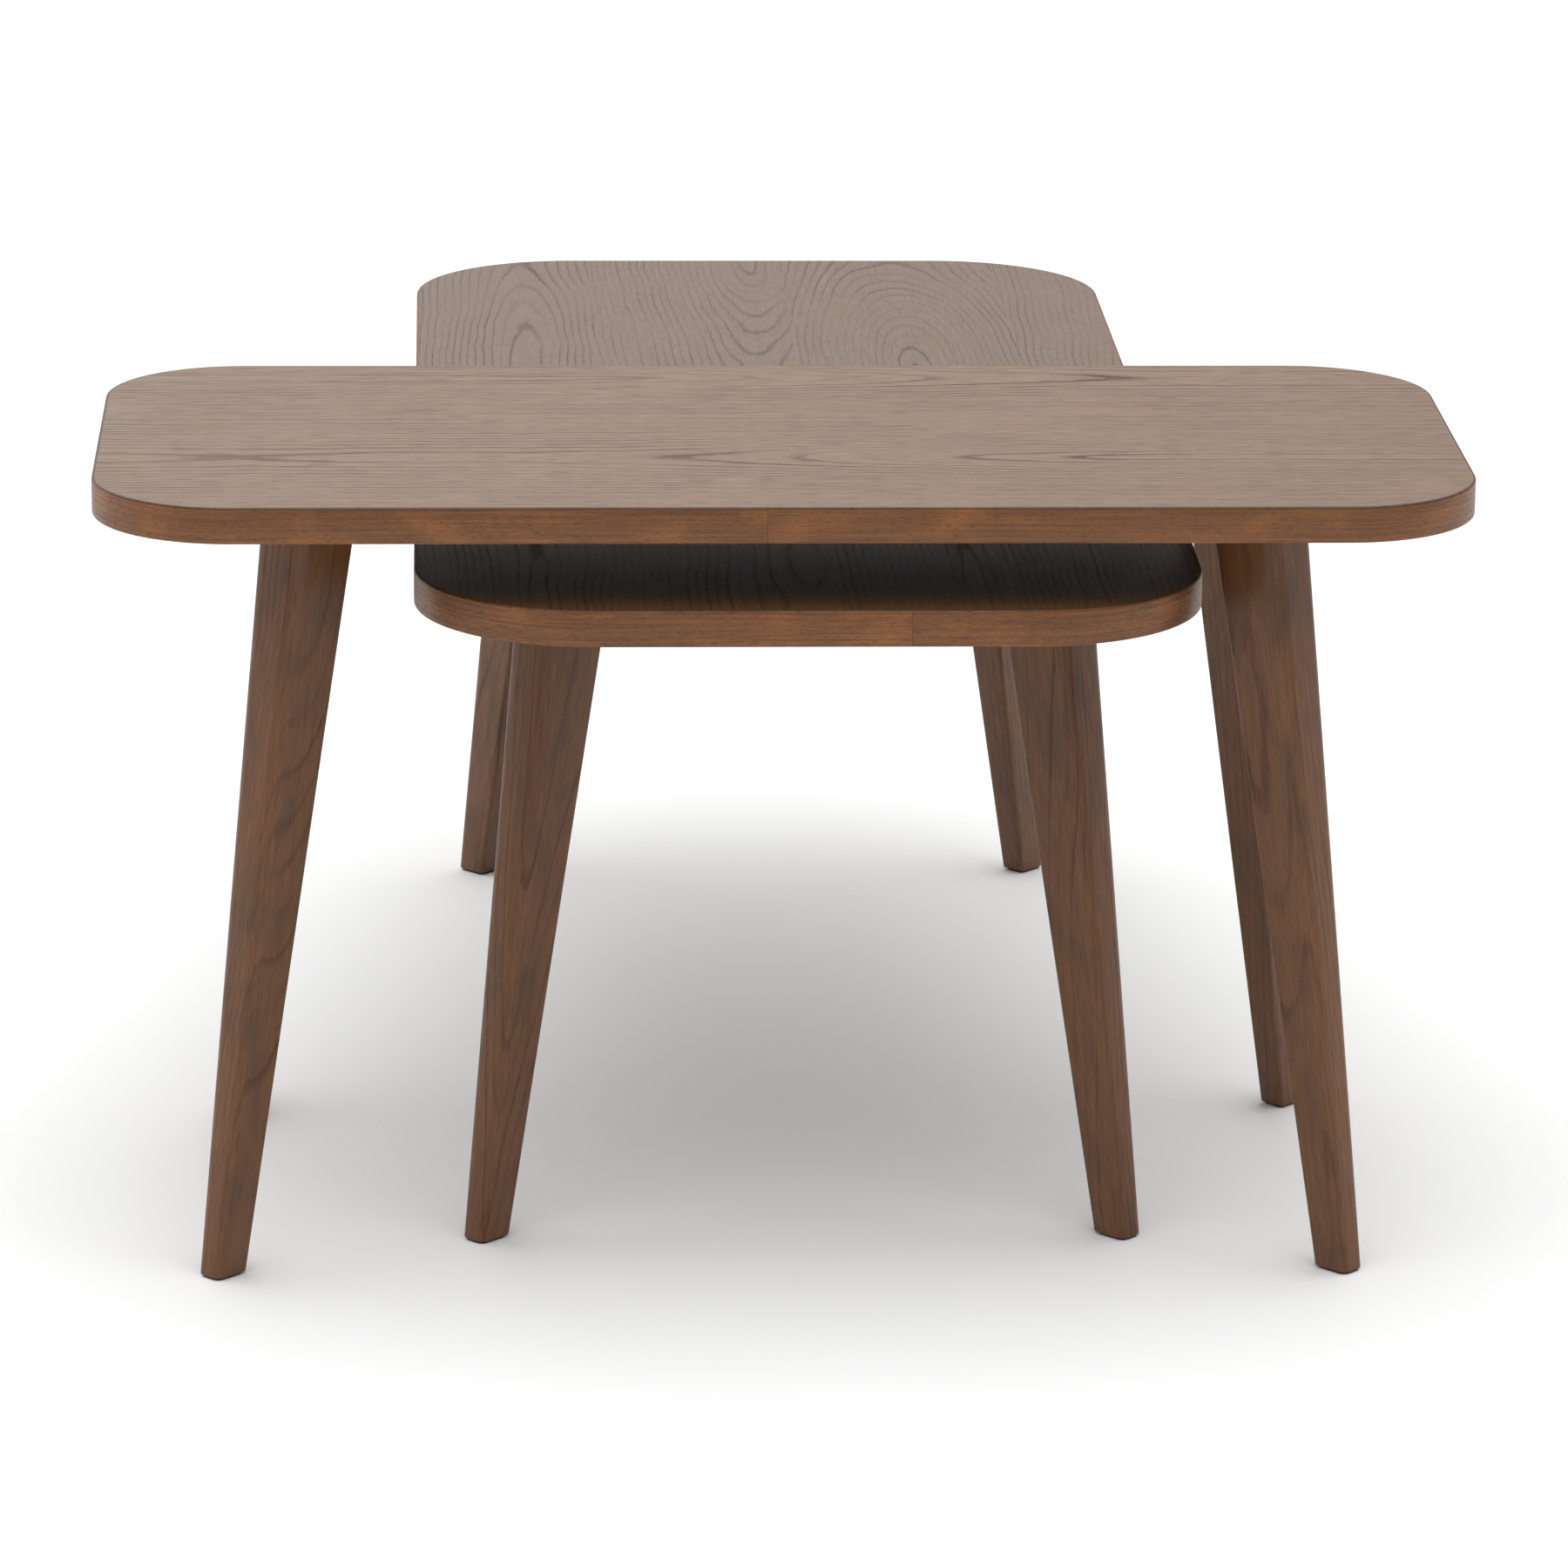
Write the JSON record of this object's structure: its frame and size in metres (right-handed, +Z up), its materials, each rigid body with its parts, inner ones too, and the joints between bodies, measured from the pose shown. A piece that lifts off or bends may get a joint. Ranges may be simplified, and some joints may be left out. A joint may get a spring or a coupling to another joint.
{
  "type": "nesting tables",
  "caption": "Nest of rounded rectangular wooden coffee tables on splayed tapered legs, the lower table running crosswise beneath the taller one.",
  "frame": {"origin": "on the floor under the middle of the overall outline of both tables", "axes": "+Z up; X along the tall table's top; Y along the low table's top, which slides along it; the tall table stands at the -Y end"},
  "size_m": [0.88, 1.05, 0.515],
  "materials": {
    "stained_veneer": "walnut-stained ash veneer, matt lacquer",
    "stained_band": "walnut-stained ash edge band, matt lacquer",
    "stained_ash": "walnut-stained solid ash, matt lacquer",
    "core_board": "raw fibreboard",
    "zinc_plated_steel": "bright zinc plating",
    "black_steel": "black oxide",
    "felt": "pressed wool felt"
  },
  "bodies": {
    "tall_table": {"tall_core_panel": "core_board", "tall_face_veneer": "stained_veneer", "tall_backing_veneer": "stained_veneer", "tall_edge_band": "stained_band", "tall_leg_front_left": "stained_ash", "tall_felt_pad_front_left": "felt", "tall_leg_plate_front_left": "zinc_plated_steel", "tall_leg_front_right": "stained_ash", "tall_felt_pad_front_right": "felt", "tall_leg_plate_front_right": "zinc_plated_steel", "tall_leg_back_left": "stained_ash", "tall_felt_pad_back_left": "felt", "tall_leg_plate_back_left": "zinc_plated_steel", "tall_leg_back_right": "stained_ash", "tall_felt_pad_back_right": "felt", "tall_leg_plate_back_right": "zinc_plated_steel", "tall_plate_bolts": "black_steel", "tall_threaded_inserts": "zinc_plated_steel", "tall_leg_screws": "zinc_plated_steel"},
    "low_table": {"low_core_panel": "core_board", "low_face_veneer": "stained_veneer", "low_backing_veneer": "stained_veneer", "low_edge_band": "stained_band", "low_leg_front_left": "stained_ash", "low_felt_pad_front_left": "felt", "low_leg_plate_front_left": "zinc_plated_steel", "low_leg_front_right": "stained_ash", "low_felt_pad_front_right": "felt", "low_leg_plate_front_right": "zinc_plated_steel", "low_leg_back_left": "stained_ash", "low_felt_pad_back_left": "felt", "low_leg_plate_back_left": "zinc_plated_steel", "low_leg_back_right": "stained_ash", "low_felt_pad_back_right": "felt", "low_leg_plate_back_right": "zinc_plated_steel", "low_plate_bolts": "black_steel", "low_threaded_inserts": "zinc_plated_steel", "low_leg_screws": "zinc_plated_steel"}
  },
  "joints": [
    {"name": "nesting_slide", "type": "slide", "parent": "tall_table", "child": "low_table", "axis": [0, 1, 0], "range_m": [-1.05, 0.42]}
  ]
}
